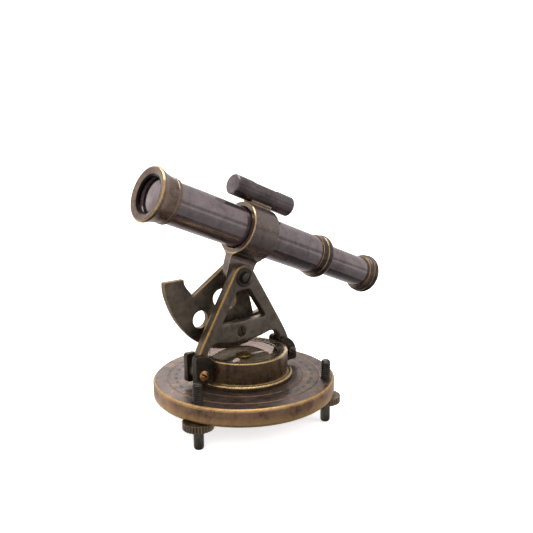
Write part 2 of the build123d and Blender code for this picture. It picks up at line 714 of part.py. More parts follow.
with BuildPart() as quadrant_rivets:
    for rivet_x in (-RIVET_X, RIVET_X):
        with BuildSketch(pivot_plane(NECK_Y0 + 0.05)):
            with Locations((rivet_x, 0)):
                Circle(RIVET_R)
        extrude(amount=SECTOR_BACK - NECK_Y0 + 0.15)
        # rear head
        with BuildSketch(pivot_plane(SECTOR_BACK + FIT)):
            with Locations((rivet_x, 0)):
                Circle(1.25)
        extrude(amount=0.4)
save(quadrant_rivets, "quadrant_rivets")

# -------------------------------------------------------------- telescope tubes
turned("main_tube", tele, tele_axis, [
    (TUBE_REAR, TUBE_RI), (TUBE_REAR, TUBE_R), (TUBE_FRONT, TUBE_R), (TUBE_FRONT, TUBE_RI),
])

bell_seat_r = TUBE_R + FIT
with BuildPart() as objective_bell:
    with BuildSketch(tele):
        with BuildLine():
            Polyline(
                (49.6, bell_seat_r), (49.6, 10.7), (50.0, 11.1), (51.4, 11.1), (51.8, 10.85)
            )
            Spline(
                (51.8, 10.85), (55.0, 11.3), (58.2, 12.15), (59.6, 12.75),
                tangents=((1, 0.05), (1, 0.35)),
            )
            ThreePointArc((59.6, 12.75), (60.7, 13.05), (61.6, 12.5))
            Polyline(
                (61.6, 12.5), (61.8, 11.9), (61.2, 9.9), (60.3, 8.5), (59.3, 8.3),
                (TUBE_FRONT + FIT, 8.3), (TUBE_FRONT + FIT, bell_seat_r), (49.6, bell_seat_r),
            )
        make_face()
    revolve(axis=tele_axis)
save(objective_bell, "objective_bell")

with BuildPart() as objective_lens:
    with BuildSketch(tele):
        with BuildLine():
            Line((57.0, 0), (57.0, LENS_R))
            Line((57.0, LENS_R), (58.0, LENS_R))
            Spline(
                (58.0, LENS_R), (58.75, 4.6), (TUBE_FRONT, 0), tangents=((0.22, -1), (0, -1))
            )
            Line((TUBE_FRONT, 0), (57.0, 0))
        make_face()
    revolve(axis=tele_axis)
save(objective_lens, "objective_lens")

turned("lens_retainer", tele, tele_axis, [
    (54.2, 8.1), (54.2, LENS_R), (56.95, LENS_R), (56.8, 8.1),
])

turned("tube_end_ring", tele, tele_axis, [
    (-43.8, TUBE_R + FIT), (TUBE_REAR - FIT, TUBE_R + FIT), (TUBE_REAR - FIT, DRAW_R + 0.06),
    (-51, DRAW_R + 0.06), (-51.4, DRAW_R + 0.4), (-51.4, 10.7), (-50.8, 11.4), (-50, 11.7),
    (-49, 11.75), (-48.2, 11.7), (-47.5, 11.3), (-47, 11.0), (-44.6, 10.85), (-43.8, 10.7),
])

# ------------------------------------------------------------------- draw tube
turned("draw_tube", tele, tele_axis, [
    (DRAW_REAR, DRAW_RI), (DRAW_REAR, DRAW_R), (DRAW_FRONT, DRAW_R), (DRAW_FRONT, DRAW_RI),
])

turned("draw_guide", tele, tele_axis, [
    (-24.0, DRAW_R + FIT), (-24.0, TUBE_RI - 0.06),
    (DRAW_FRONT, TUBE_RI - 0.06), (DRAW_FRONT, DRAW_R + FIT),
])

turned("diaphragm", tele, tele_axis, [
    (-23.0, 4.2), (-23.0, DRAW_RI - FIT), (-22.0, DRAW_RI - FIT), (-22.0, 4.6),
])

with BuildPart() as eyepiece_cap:
    with BuildSketch(tele):
        with BuildLine():
            Polyline((-84.6, DRAW_R + FIT), (-84.6, 8.9), (-85.2, 9.3), (-85.8, 9.35))
            ThreePointArc((-85.8, 9.35), (-86.7, 10.35), (-87.7, 10.55))
            ThreePointArc((-87.7, 10.55), (-88.4, 10.4), (-88.8, 10.1))
            ThreePointArc((-88.8, 10.1), (-89.6, 10.75), (-90.6, 10.75))
            ThreePointArc((-90.6, 10.75), (-91.5, 10.2), (-91.9, 9.2))
            Polyline(
                (-91.9, 9.2), (-91.9, 5.4), (-90.8, 4.4), (-90.1, 4.2), (-89.8, 4.2),
                (-89.8, EYE_LENS_R), (DRAW_REAR - FIT, EYE_LENS_R),
                (DRAW_REAR - FIT, DRAW_R + FIT), (-84.6, DRAW_R + FIT),
            )
        make_face()
    revolve(axis=tele_axis)
save(eyepiece_cap, "eyepiece_cap")

with BuildPart() as eye_lens:
    with BuildSketch(tele):
        with BuildLine():
            Line((DRAW_REAR, 0), (DRAW_REAR, EYE_LENS_R))
            Line((DRAW_REAR, EYE_LENS_R), (-88.1, EYE_LENS_R))
            Spline((-88.1, EYE_LENS_R), (-87.3, 3.6), (-87, 0), tangents=((0.3, -1), (0, -1)))
            Line((-87, 0), (DRAW_REAR, 0))
        make_face()
    revolve(axis=tele_axis)
save(eye_lens, "eye_lens")

# ------------------------------------------------------------------- level tube
tube_end = LEVEL_HALF_L - LEVEL_CAP_L
with BuildPart() as level_tube:
    with BuildSketch(level):
        with BuildLine():
            Polyline(
                (-tube_end, LEVEL_RI), (-tube_end, LEVEL_R),
                (tube_end, LEVEL_R), (tube_end, LEVEL_RI), close=True,
            )
        make_face()
    revolve(axis=level_axis)
    # viewing window in the top
    with BuildSketch(Plane(origin=level_origin + above * 2.0, x_dir=fore, z_dir=above)):
        SlotOverall(19.0, 5.4)
    extrude(amount=6.0, mode=Mode.SUBTRACT)
save(level_tube, "level_tube")

# here "front" is the objective end
for label, end in (("front", 1), ("rear", -1)):
    turned(f"level_cap_{label}", level, level_axis, [
        (end * (tube_end + FIT), 0), (end * (tube_end + FIT), LEVEL_R),
        (end * (LEVEL_HALF_L - 0.5), LEVEL_R), (end * LEVEL_HALF_L, LEVEL_R - 0.5),
        (end * LEVEL_HALF_L, 0),
    ])

turned("level_vial", level, level_axis, [
    (-14.2, 0), (14.2, 0), (14.0, 2.6), (12.8, 3.95), (-12.8, 3.95), (-14.0, 2.6),
])

# saddle that joins the level to the collar
with BuildPart() as level_saddle:
    with BuildSketch(across(tele_origin, SADDLE_HALF_L)):
        with Locations((0, COLLAR_R + 0.6)):
            Rectangle(6.4, 3.6)
    extrude(amount=2 * SADDLE_HALF_L)
    for seat_origin, seat_r in ((tele_origin, COLLAR_R), (level_origin, LEVEL_R)):
        with BuildSketch(across(seat_origin, 20)):
            Circle(seat_r + 0.01)
        extrude(amount=40, mode=Mode.SUBTRACT)
save(level_saddle, "level_saddle")
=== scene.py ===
"""A small bronze surveying instrument: levelling base, compass drum, A-frame and telescope.

It stands on z = 0 on three screws and turns about a vertical axis near the origin. The telescope
lies in the XZ plane, its objective towards -X and tilted up. The camera is on the -X -Y side.
"""

import math

import bmesh
import bpy
from mathutils import Matrix, Vector

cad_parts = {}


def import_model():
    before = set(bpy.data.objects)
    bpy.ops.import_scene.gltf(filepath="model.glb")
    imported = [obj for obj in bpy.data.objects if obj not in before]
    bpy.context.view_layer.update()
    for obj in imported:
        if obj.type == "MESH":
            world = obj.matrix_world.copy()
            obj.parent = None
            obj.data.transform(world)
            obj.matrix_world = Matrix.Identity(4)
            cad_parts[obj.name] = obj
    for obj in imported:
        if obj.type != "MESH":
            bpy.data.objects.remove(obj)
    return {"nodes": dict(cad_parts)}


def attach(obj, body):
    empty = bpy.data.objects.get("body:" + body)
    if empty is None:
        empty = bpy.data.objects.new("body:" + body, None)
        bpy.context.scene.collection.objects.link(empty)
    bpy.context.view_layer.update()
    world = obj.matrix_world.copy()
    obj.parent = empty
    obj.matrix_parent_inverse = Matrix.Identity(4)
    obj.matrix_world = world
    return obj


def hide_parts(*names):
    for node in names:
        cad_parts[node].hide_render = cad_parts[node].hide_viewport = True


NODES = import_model()["nodes"]
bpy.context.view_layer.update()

# Vertical axis and tilt axis, in metres
AXIS_X, AXIS_Y = -0.0216, -0.0011
PIVOT = Vector((AXIS_X, AXIS_Y, 0.0727))
TILT = math.radians(21.9)
SIGHT = Vector((-math.cos(TILT), 0.0, math.sin(TILT)))      # towards the objective
RISE = Vector((math.sin(TILT), 0.0, math.cos(TILT)))        # across the telescope, upwards
UP = (0.0, 0.0, 1.0)

# Heights and offsets, in millimetres
TUBE_UP, TUBE_Y = 22.75, 4.9    # telescope axis from the tilt axis
BASE_TOP = 22.7
DIAL_TOP = BASE_TOP + 8.2

# Level directions of the camera's view
AHEAD = Vector((0.637, 0.7705, 0.0))
LEFT = Vector((-0.7705, 0.637, 0.0))


def on_telescope(along, up, y):
    """A point along the telescope, above the tilt axis and across, in millimetres."""
    return PIVOT + SIGHT * (along / 1000) + RISE * (up / 1000) + Vector((0, y / 1000, 0))


# Turning axes as origin in millimetres and direction
UPRIGHT = (Vector((AXIS_X * 1000, AXIS_Y * 1000, 0.0)), UP)
TUBE = (on_telescope(0, TUBE_UP, TUBE_Y) * 1000, SIGHT)


def linear(rgb):
    """A 0-255 display colour as linear values."""
    out = []
    for value in rgb:
        value /= 255
        out.append(value / 12.92 if value <= 0.04045 else ((value + 0.055) / 1.055) ** 2.4)
    return (*out, 1.0)


# ------------------------------------------------------------------ node helpers
class Graph:
    """The emptied node tree of a material or world, with short calls for its nodes."""

    def __init__(self, owner, output):
        owner.use_nodes = True
        self.tree = owner.node_tree
        self.tree.nodes.clear()
        self.output = self.tree.nodes.new(output)

    def node(self, kind, inputs=None, **settings):
        node = self.tree.nodes.new(kind)
        for key, value in settings.items():
            setattr(node, key, value)
        for key, value in (inputs or {}).items():
            if hasattr(value, "is_output"):
                self.tree.links.new(value, node.inputs[key])
            else:
                node.inputs[key].default_value = value
        return node

    def finish(self, shader):
        self.tree.links.new(shader.outputs[0], self.output.inputs[0])

    def math(self, operation, a, b=0.0, clamp=False):
        return self.node("ShaderNodeMath", {0: a, 1: b, 2: 0.0}, operation=operation,
                         use_clamp=clamp).outputs[0]

    def add(self, a, b, clamp=False):
        return self.math("ADD", a, b, clamp)

    def sub(self, a, b, clamp=False):
        return self.math("SUBTRACT", a, b, clamp)

    def mul(self, a, b, clamp=False):
        return self.math("MULTIPLY", a, b, clamp)

    def vector(self, operation, a, b=None):
        """Vector arithmetic; for SCALE, b is the factor."""
        inputs = {0: a}
        if b is not None:
            inputs[3 if operation == "SCALE" else 1] = b
        node = self.node("ShaderNodeVectorMath", inputs, operation=operation)
        return node.outputs["Value" if operation in ("DOT_PRODUCT", "LENGTH") else 0]

    def remap(self, value, low, high, to=(0.0, 1.0)):
        return self.node("ShaderNodeMapRange", {0: value, 1: low, 2: high, 3: to[0], 4: to[1]},
                         clamp=True).outputs[0]

    def mix(self, factor, a, b):
        return self.node("ShaderNodeMix", {0: factor, 6: a, 7: b}, data_type="RGBA",
                         blend_type="MIX", clamp_factor=True).outputs[2]

    def ramp(self, factor, stops):
        """A colour ramp from (position, linear colour) stops."""
        node = self.node("ShaderNodeValToRGB", {0: factor})
        elements = node.color_ramp.elements
        for index in (0, -1):
            elements[index].position, elements[index].color = stops[index]
        for position, colour in stops[1:-1]:
            elements.new(position).color = colour
        return node.outputs[0]

    def height(self, vector):
        return self.node("ShaderNodeSeparateXYZ", {0: vector}).outputs[2]

    def position(self):
        """Object position in millimetres."""
        coord = self.node("ShaderNodeTexCoord").outputs["Object"]
        return self.vector("SCALE", coord, 1000.0)

    def noise(self, vector, scale, detail=3.0, rough=0.6, distortion=0.0):
        return self.node("ShaderNodeTexNoise", {
            "Vector": vector, "Scale": scale, "Detail": detail,
            "Roughness": rough, "Distortion": distortion}).outputs[0]

    def principled(self, colour, metallic, rough, relief):
        bump = self.node("ShaderNodeBump", relief).outputs[0]
        return self.node("ShaderNodeBsdfPrincipled", {
            "Base Color": colour, "Metallic": metallic, "Roughness": rough, "Normal": bump})


def new_material(name):
    material = bpy.data.materials.new(name)
    return material, Graph(material, "ShaderNodeOutputMaterial")


# ------------------------------------------------------------------ bronze
CIRCLES = "circles"     # brush marks running about the vertical axis


def upright_distance(net, place):
    """Distance from the vertical axis."""
    offset = net.vector("ADD", place, (-AXIS_X * 1000, -AXIS_Y * 1000, 0.0))
    return net.vector("LENGTH", net.vector("MULTIPLY", offset, (1.0, 1.0, 0.0)))


def axis_offset(net, place, origin, direction):
    """Offset from an axis origin, and distance from the axis."""
    offset = net.vector("SUBTRACT", place, origin)
    return offset, net.vector("LENGTH", net.vector("CROSS_PRODUCT", offset, direction))


def tool_marks(net, place, direction, along, across):
    """Noise stretched along a direction, or into circles, by its scale each way."""
    if direction is CIRCLES:
        radius = upright_distance(net, place)
        rings = net.node("ShaderNodeCombineXYZ", {
            0: net.mul(radius, along), 1: net.mul(net.height(place), along)}).outputs[0]
        drawn = net.vector("ADD", rings, net.vector("SCALE", place, across))
    else:
        dot = net.vector("DOT_PRODUCT", place, direction)
        part = net.vector("SCALE", direction, net.mul(dot, along - across))
        drawn = net.vector("ADD", part, net.vector("SCALE", place, across))
    return net.noise(drawn, scale=1.0, rough=0.75)


def edge_wear(net, place, bevel, normal, hollow, turned, wear):
    """Wear where the rounded normal leaves the flat one, outside hollows."""
    dot = net.vector("DOT_PRODUCT", bevel, normal)
    edge = net.remap(net.sub(1.0, dot), 0.022 if turned else 0.010, 0.12)
    edge = net.mul(edge, net.remap(hollow, 0.80, 0.97))
    rub = net.remap(net.noise(place, scale=0.30, detail=4.0, rough=0.72), 0.34, 0.60, (0.10, 1.0))
    chips = net.remap(net.noise(place, scale=1.7, rough=0.7), 0.30, 0.62, (0.25, 1.0))
    return net.mul(net.mul(edge, rub), net.mul(chips, wear), clamp=True)


def side_wear_and_highlight(net, place, true_normal, gold_wear_and_highlight):
    """Keep the wear to one side, and paint the narrow face there that turns to the camera and key
    light gold, a painted highlight.
    """
    across = (0.8754, 0.0, -0.4833)
    start, end = -59.4, -56.6       # millimetres along that direction
    highlight_face = (-0.61, -0.71, 0.35)
    side = net.vector("DOT_PRODUCT", place, across)
    gold_wear_and_highlight = net.mul(gold_wear_and_highlight, net.remap(side, start, end, (1.0, 0.14)), clamp=True)
    # painted highlight: the face turned to the camera and key light is painted bare gold
    face = net.vector("DOT_PRODUCT", true_normal, highlight_face)
    strip = net.mul(net.remap(face, 0.93, 0.96),
                    net.remap(net.noise(place, scale=0.9, rough=0.7), 0.25, 0.5, (0.45, 1.0)))
    strip = net.mul(strip, net.remap(side, start, end, (1.0, 0.0)))
    return net.math("MAXIMUM", gold_wear_and_highlight, net.mul(strip, 0.95))


def wear_and_highlight_lines(net, place, gold_wear_and_highlight, turning_axis, rows):
    """Thin bright gold lines on turned edges, partly rubbed wear and partly painted highlight.

    Rows: distance along the axis, radius, line width in millimetres, strength if not 1.
    """
    origin, direction = turning_axis
    offset, radius = axis_offset(net, place, origin, direction)
    along = net.vector("DOT_PRODUCT", offset, direction)
    uneven = net.remap(net.noise(place, scale=0.45, rough=0.65), 0.30, 0.55, (0.45, 1.0))
    for line_along, line_radius, width, *strength in rows:
        da, dr = net.sub(along, line_along), net.sub(radius, line_radius)
        gap = net.math("SQRT", net.add(net.mul(da, da), net.mul(dr, dr)))
        line = net.remap(gap, width * 0.4, width, (strength[0] if strength else 1.0, 0.0))
        gold_wear_and_highlight = net.math("MAXIMUM", gold_wear_and_highlight, net.mul(line, uneven))
    return gold_wear_and_highlight


def bronze(name, dark, mid, light, *, gold, wear, edge_mm, rough, bump, brush=None, streak=0.0,
           speck=0.6, patch=None, nicks=0.0, painted_hollow_shade=0.75, hollow_mm=2.2, top=None, lines=None,
           turned=False, sided=False, rim_mm=None, black_inside=None):
    """Patinated bronze: mottled colour, painted shade in hollows, edges rubbed to gold, tool marks.

    brush: direction, scale along it, scale across it, strength; for CIRCLES the first scale
    is for radius and height, the second for position. patch: amount, colour.
    top: dark and light colours painted on upward faces as sheen and highlight. lines: turning axis,
    rows of bright lines, partly wear and partly painted highlight.
    rim_mm: radius outside which edges wear fully. black_inside: radius from the telescope axis.
    """
    material, net = new_material(name)
    place = net.position()
    geometry = net.node("ShaderNodeNewGeometry").outputs
    broad = net.noise(place, scale=0.085, detail=4.0, rough=0.62, distortion=0.4)
    medium = net.noise(place, scale=0.42, detail=5.0, rough=0.65)
    fine = net.noise(place, scale=2.6, detail=4.0, rough=0.7)
    dark, mid, light = linear(dark), linear(mid), linear(light)

    # mottled patina
    blend = net.add(net.mul(broad, 0.62), net.mul(medium, 0.38))
    colour = net.ramp(net.remap(blend, 0.36, 0.64), ((0.0, dark), (0.5, mid), (1.0, light)))
    # painted sheen and highlight: upward faces take their own colours for the light they catch
    if top:
        painted_top_sheen = net.ramp(net.remap(blend, 0.38, 0.62),
                              ((0.0, linear(top[0])), (1.0, linear(top[1]))))
        facing_up = net.remap(net.height(geometry["True Normal"]), 0.75, 0.95)
        colour = net.mix(facing_up, colour, painted_top_sheen)
    # tiny light and dark flecks
    colour = net.mix(net.mul(net.remap(fine, 0.60, 0.74), 0.35 * speck), colour, light)
    colour = net.mix(net.mul(net.remap(fine, 0.42, 0.30), 0.45 * speck), colour, dark)
    if patch:
        patches = net.noise(place, scale=0.16, detail=5.0, rough=0.7, distortion=0.8)
        colour = net.mix(net.mul(net.remap(patches, 0.52, 0.68), patch[0]),
                         colour, linear(patch[1]))
    if nicks:
        # a few small knocks through the patina
        cells = net.node("ShaderNodeTexVoronoi", {"Vector": place, "Scale": 0.16,
                         "Randomness": 1.0}, feature="F1").outputs["Distance"]
        amount = net.mul(net.remap(broad, 0.50, 0.58), nicks)
        colour = net.mix(net.mul(net.remap(cells, 0.075, 0.045), amount), colour, linear(gold))

    # wear, painted highlights and painted shade
    bevel = net.node("ShaderNodeBevel", {0: edge_mm / 1000}, samples=8).outputs[0]
    hollow = net.node("ShaderNodeAmbientOcclusion", {"Distance": hollow_mm / 1000},
                      samples=6, only_local=True).outputs["AO"]
    gold_wear_and_highlight = edge_wear(net, place, bevel, geometry["Normal"], hollow, turned, wear)
    if sided:
        gold_wear_and_highlight = side_wear_and_highlight(net, place, geometry["True Normal"], gold_wear_and_highlight)
    if rim_mm:
        # hands and the bench reach the outer rim, not the engraved circles
        at_rim = net.remap(upright_distance(net, place), rim_mm - 1.0, rim_mm, (0.12, 1.0))
        gold_wear_and_highlight = net.mul(gold_wear_and_highlight, at_rim, clamp=True)
    # bright gold lines on turned edges: partly rubbed wear, partly painted highlight
    if lines:
        gold_wear_and_highlight = wear_and_highlight_lines(net, place, gold_wear_and_highlight, *lines)
    # painted shade: hollows found by the local ambient occlusion are darkened towards near black
    colour = net.mix(net.remap(hollow, 0.35, 0.95, (painted_hollow_shade, 0.0)), colour, linear((24, 20, 16)))
    # gold stands for both edge wear and painted highlight
    dull_gold = linear((gold[0] * 0.72, gold[1] * 0.68, gold[2] * 0.6))
    colour = net.mix(gold_wear_and_highlight, colour,
                     net.mix(net.remap(fine, 0.35, 0.65), linear(gold), dull_gold))
    if black_inside:
        radius = axis_offset(net, place, *TUBE)[1]
        inside = net.remap(radius, black_inside, black_inside + 0.25, (1.0, 0.0))
        colour = net.mix(inside, colour, linear((20, 17, 17)))

    # roughness follows the mottling; rubbed edges are smoother
    gloss = net.remap(medium, 0.35, 0.65, rough)
    gloss = net.add(gloss, net.mul(net.remap(fine, 0.3, 0.7, (-0.5, 0.5)), 0.08))
    gloss = net.sub(gloss, net.mul(gold_wear_and_highlight, 0.06), clamp=True)

    # relief: fine and finest grain, then tool marks
    grain, grit = (0.12, 0.05) if turned else (0.55, 0.30)
    finest = net.noise(place, scale=9.0, detail=2.0)
    height = net.add(net.mul(fine, grain), net.mul(finest, grit))
    if brush:
        *stretch, strength = brush
        marks = tool_marks(net, place, *stretch)
        height = net.add(net.mul(height, 1 - strength), net.mul(marks, strength * 2.2))
        uneven = net.mul(net.remap(marks, 0.3, 0.7, (-0.5, 0.5)), 0.07)
        gloss = net.add(gloss, uneven, clamp=True)
        if streak:
            colour = net.mix(net.mul(net.remap(marks, 0.50, 0.72), streak), colour, light)
    relief = {"Strength": bump, "Distance": 0.00006, "Height": height}
    if not turned:
        relief["Normal"] = bevel
    net.finish(net.principled(colour, 0.92, gloss, relief))
    return material


# ------------------------------------------------------------------ glass and paint
def clear(name, tint, reflect, gain, floor, rough):
    """Clear glass with a coloured reflection: gain on the Fresnel part, floor from smears."""
    material, net = new_material(name)
    smear = net.noise(net.position(), scale=0.12, distortion=0.6)
    fresnel = net.node("ShaderNodeFresnel", {0: 1.5}).outputs[0]
    factor = net.add(net.mul(fresnel, gain), net.mul(net.remap(smear, 0.4, 0.7), floor),
                     clamp=True)
    # only the outer side mirrors the room
    outer = net.sub(1.0, net.node("ShaderNodeNewGeometry").outputs["Backfacing"])
    through = net.node("ShaderNodeBsdfTransparent", {0: linear(tint)}).outputs[0]
    mirror = net.node("ShaderNodeBsdfAnisotropic", {
        "Color": linear(reflect),
        "Roughness": net.remap(smear, 0.3, 0.7, (rough, rough + 0.05))}).outputs[0]
    net.finish(net.node("ShaderNodeMixShader", {
        0: net.mul(factor, outer), 1: through, 2: mirror}))
    return material


def plain(name, dark, light, rough, scale, bump, metallic=0.0):
    """Paint, ink or plain steel with a little unevenness."""
    material, net = new_material(name)
    place = net.position()
    mottle = net.noise(place, scale, detail=5.0, rough=0.65)
    grain = net.noise(place, scale * 7)
    colour = net.mix(net.remap(mottle, 0.35, 0.65), linear(dark), linear(light))
    gloss = net.remap(grain, 0.3, 0.7, (rough - 0.06, rough + 0.06))
    relief = {"Strength": bump, "Distance": 0.00004, "Height": grain}
    net.finish(net.principled(colour, metallic, gloss, relief))
    return material


# ------------------------------------------------------------------ materials
# top paints a mauve-grey sheen on the upward faces; its lines are gold, partly wear and partly
# painted highlight
base_mat = bronze(
    "base_patina", (90, 70, 57), (142, 112, 91), (166, 132, 104), gold=(232, 192, 124),
    wear=3.2, edge_mm=0.9, rough=(0.36, 0.50), bump=0.10, brush=(CIRCLES, 1.5, 0.02, 0.5),
    patch=(0.40, (176, 138, 88)), top=((76, 65, 61), (112, 97, 91)), rim_mm=44.2,
    lines=(UPRIGHT, [(22.35, 44.7, 0.52), (14.4, 45.1, 1.3, 0.9), (14.6, 45.3, 4.2, 0.5)]))
# top paints a pale gold highlight on the upward faces, the flange among them; the flange lines are
# painted highlight too
drum_mat = bronze(
    "drum_patina", (78, 63, 49), (104, 86, 66), (126, 104, 80), gold=(236, 206, 150),
    wear=1.2, edge_mm=0.9, rough=(0.24, 0.34), bump=0.02, brush=(UP, 0.02, 0.30, 0.3),
    streak=0.35, speck=0.15, painted_hollow_shade=0.5, turned=True, top=((160, 140, 108), (210, 190, 150)),
    lines=(UPRIGHT, [(35.5, 21.8, 0.55), (24.6, 23.9, 0.75), (24.9, 22.9, 0.8)]))
# sided keeps the edge wear to one side and paints a gold highlight on the face turned to the light
frame_mat = bronze(
    "frame_patina", (80, 73, 65), (112, 103, 93), (130, 121, 108), gold=(222, 176, 92),
    wear=4.6, edge_mm=1.5, rough=(0.40, 0.54), bump=0.10,
    brush=((0.35, 0.0, 0.94), 0.25, 1.6, 0.3), sided=True)
quad_mat = bronze(
    "quadrant_patina", (72, 64, 56), (104, 94, 82), (124, 112, 97), gold=(216, 172, 96),
    wear=3.0, edge_mm=0.9, rough=(0.34, 0.48), bump=0.10,
    brush=((0.6, 0.0, 0.8), 0.25, 1.6, 0.3))
tube_mat = bronze(
    "tube_gunmetal", (120, 108, 110), (141, 129, 131), (154, 142, 144), gold=(196, 160, 100),
    wear=0.7, edge_mm=0.35, rough=(0.13, 0.21), bump=0.004, brush=(SIGHT, 0.9, 0.03, 0.5),
    speck=0.2, painted_hollow_shade=0.5, nicks=0.8, turned=True)
# its lines are gold rim lines, partly wear and partly painted highlight
bell_mat = bronze(
    "bell_bronze", (86, 71, 63), (124, 107, 97), (148, 129, 114), gold=(236, 200, 142),
    wear=1.6, edge_mm=0.8, rough=(0.22, 0.32), bump=0.014, brush=(SIGHT, 1.0, 0.03, 0.5),
    patch=(0.5, (140, 108, 78)), nicks=0.6, turned=True, black_inside=9.3,
    lines=(TUBE, [(61.4, 12.75, 0.62), (49.75, 10.9, 0.36)]))
ring_mat = bronze(
    "ring_bronze", (50, 44, 42), (78, 69, 65), (100, 90, 84), gold=(226, 188, 128),
    wear=1.4, edge_mm=0.5, rough=(0.22, 0.32), bump=0.014, brush=(SIGHT, 1.0, 0.03, 0.5),
    painted_hollow_shade=1.0, hollow_mm=1.2, turned=True,
    lines=(TUBE, [(-51.0, 11.2, 0.36), (-47.4, 11.35, 0.34), (-43.95, 10.7, 0.28),
                  (-87.7, 10.5, 0.36), (-90.8, 10.65, 0.4), (-85.2, 9.3, 0.3)]))
collar_mat = bronze(
    "collar_bronze", (106, 95, 91), (124, 112, 107), (138, 126, 120), gold=(236, 202, 142),
    wear=1.6, edge_mm=0.8, rough=(0.24, 0.34), bump=0.012, brush=(SIGHT, 1.0, 0.04, 0.4),
    turned=True, lines=(TUBE, [(8.1, 13.1, 0.5), (-8.1, 13.1, 0.32)]))
level_mat = bronze(
    "level_gunmetal", (84, 76, 77), (106, 97, 98), (126, 115, 116), gold=(160, 130, 92),
    wear=0.5, edge_mm=0.4, rough=(0.20, 0.28), bump=0.003, brush=(SIGHT, 1.0, 0.03, 0.4),
    speck=0.25, turned=True)
bracket_mat = bronze(
    "bracket_bronze", (48, 43, 38), (66, 60, 53), (86, 78, 69), gold=(150, 118, 74),
    wear=0.8, edge_mm=0.6, rough=(0.34, 0.48), bump=0.12)
screw_mat = bronze(
    "screw_bronze", (54, 51, 47), (76, 71, 65), (98, 92, 83), gold=(160, 132, 88),
    wear=0.9, edge_mm=0.3, rough=(0.30, 0.42), bump=0.10)
thread_mat = bronze(
    "thread_bronze", (50, 48, 44), (74, 70, 64), (98, 93, 84), gold=(150, 128, 90),
    wear=0.7, edge_mm=0.15, rough=(0.30, 0.42), bump=0.06, painted_hollow_shade=1.0, hollow_mm=0.8)
wheel_mat = bronze(
    "wheel_bronze", (88, 79, 67), (126, 113, 97), (150, 135, 113), gold=(190, 154, 98),
    wear=1.2, edge_mm=0.3, rough=(0.34, 0.46), bump=0.12)
brass_mat = bronze(
    "bright_brass", (150, 106, 68), (196, 146, 96), (226, 182, 130), gold=(240, 208, 156),
    wear=1.0, edge_mm=0.3, rough=(0.22, 0.36), bump=0.12, painted_hollow_shade=0.9)
cap_mat = bronze(
    "needle_brass", (128, 108, 58), (170, 146, 84), (196, 172, 108), gold=(212, 186, 116),
    wear=0.8, edge_mm=0.3, rough=(0.22, 0.34), bump=0.1)
needle_mat = plain("needle_steel", (150, 150, 156), (196, 196, 202),
                   rough=0.28, metallic=0.95, scale=0.8, bump=0.08)
dial_mat = plain("dial_paint", (92, 88, 76), (128, 122, 104), rough=0.55, scale=0.5, bump=0.12)
mark_mat = plain("dial_marks", (150, 140, 112), (184, 172, 140),
                 rough=0.5, metallic=0.3, scale=1.4, bump=0.1)
black_mat = plain("black_paint", (14, 13, 14), (26, 24, 25), rough=0.7, scale=0.8, bump=0.2)
groove_mat = plain("groove_fill", (38, 31, 27), (60, 49, 42),
                   rough=0.55, metallic=0.5, scale=1.2, bump=0.2)
glass_mat = clear("compass_glass", (244, 240, 236), (244, 218, 208),
                  gain=0.62, floor=0.03, rough=0.03)
lens_mat = clear("lens_glass", (104, 96, 100), (216, 200, 202), gain=4.6, floor=0.20, rough=0.12)
vial_mat = clear("vial_glass", (196, 214, 150), (236, 240, 236), gain=1.6, floor=0.05, rough=0.01)
bubble_mat = clear("vial_bubble", (232, 240, 214), (250, 252, 246),
                   gain=3.0, floor=0.2, rough=0.01)

# Each material with its pieces
PAINT = (
    (base_mat, "base_plate"),
    (drum_mat, "compass_drum"),
    (frame_mat, "a_frame guide_block"),
    (quad_mat, "quadrant_plate quadrant_rivets"),
    (tube_mat, "main_tube draw_tube"),
    (bell_mat, "objective_bell"),
    (ring_mat, "glass_ring tube_end_ring eyepiece_cap"),
    (collar_mat, "telescope_collar level_saddle"),
    (level_mat, "level_tube level_cap_front level_cap_rear"),
    (bracket_mat, "bracket_left bracket_right crossbar_screw pivot_washer"),
    (screw_mat, "centre_stud centre_washer centre_nut bracket_screw_left bracket_screw_right "
                "clevis_screw_right pivot_screw rear_washer pivot_nut "
                "levelling_screw_1 levelling_screw_2 levelling_screw_3"),
    (wheel_mat, "thumb_wheel_1 thumb_wheel_2 thumb_wheel_3"),
    (brass_mat, "needle_pivot clevis_screw_left"),
    (cap_mat, "needle_cap"),
    (needle_mat, "compass_needle"),
    (dial_mat, "dial_plate"),
    (black_mat, "spacer_ring lens_retainer draw_guide diaphragm"),
    (glass_mat, "compass_glass"),
    (lens_mat, "objective_lens eye_lens"),
    (vial_mat, "level_vial"),
)
material_of = {piece: material for material, pieces in PAINT for piece in pieces.split()}
for piece, obj in NODES.items():
    obj.data.materials.clear()
    obj.data.materials.append(material_of[piece])


# ------------------------------------------------------------------ mesh helpers
def link_mesh(name, shape, material):
    mesh = bpy.data.meshes.new(name)
    shape.to_mesh(mesh)
    shape.free()
    obj = bpy.data.objects.new(name, mesh)
    bpy.context.scene.collection.objects.link(obj)
    mesh.materials.append(material)
    return obj


def add_piece(name, shape, material, body):
    shape.normal_update()
    obj = link_mesh(name, shape, material)
    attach(obj, body)
    return obj


def smooth(shape):
    for face in shape.faces:
        face.smooth = True


# ------------------------------------------------------------------ engraved scales
def bar(shape, angle, inner, outer, width, levels):
    """One radial mark as a closed bar."""
    c, s = math.cos(angle), math.sin(angle)
    half = width / 2
    verts = [shape.verts.new((AXIS_X + (r * c - w * s) / 1000, AXIS_Y + (r * s + w * c) / 1000,
                              z / 1000))
             for z in levels
             for r, w in ((inner, -half), (outer, -half), (outer, half), (inner, half))]
    for face in ((3, 2, 1, 0), (4, 5, 6, 7), (0, 1, 5, 4), (1, 2, 6, 5), (2, 3, 7, 6), (3, 0, 4, 7)):
        shape.faces.new([verts[k] for k in face])


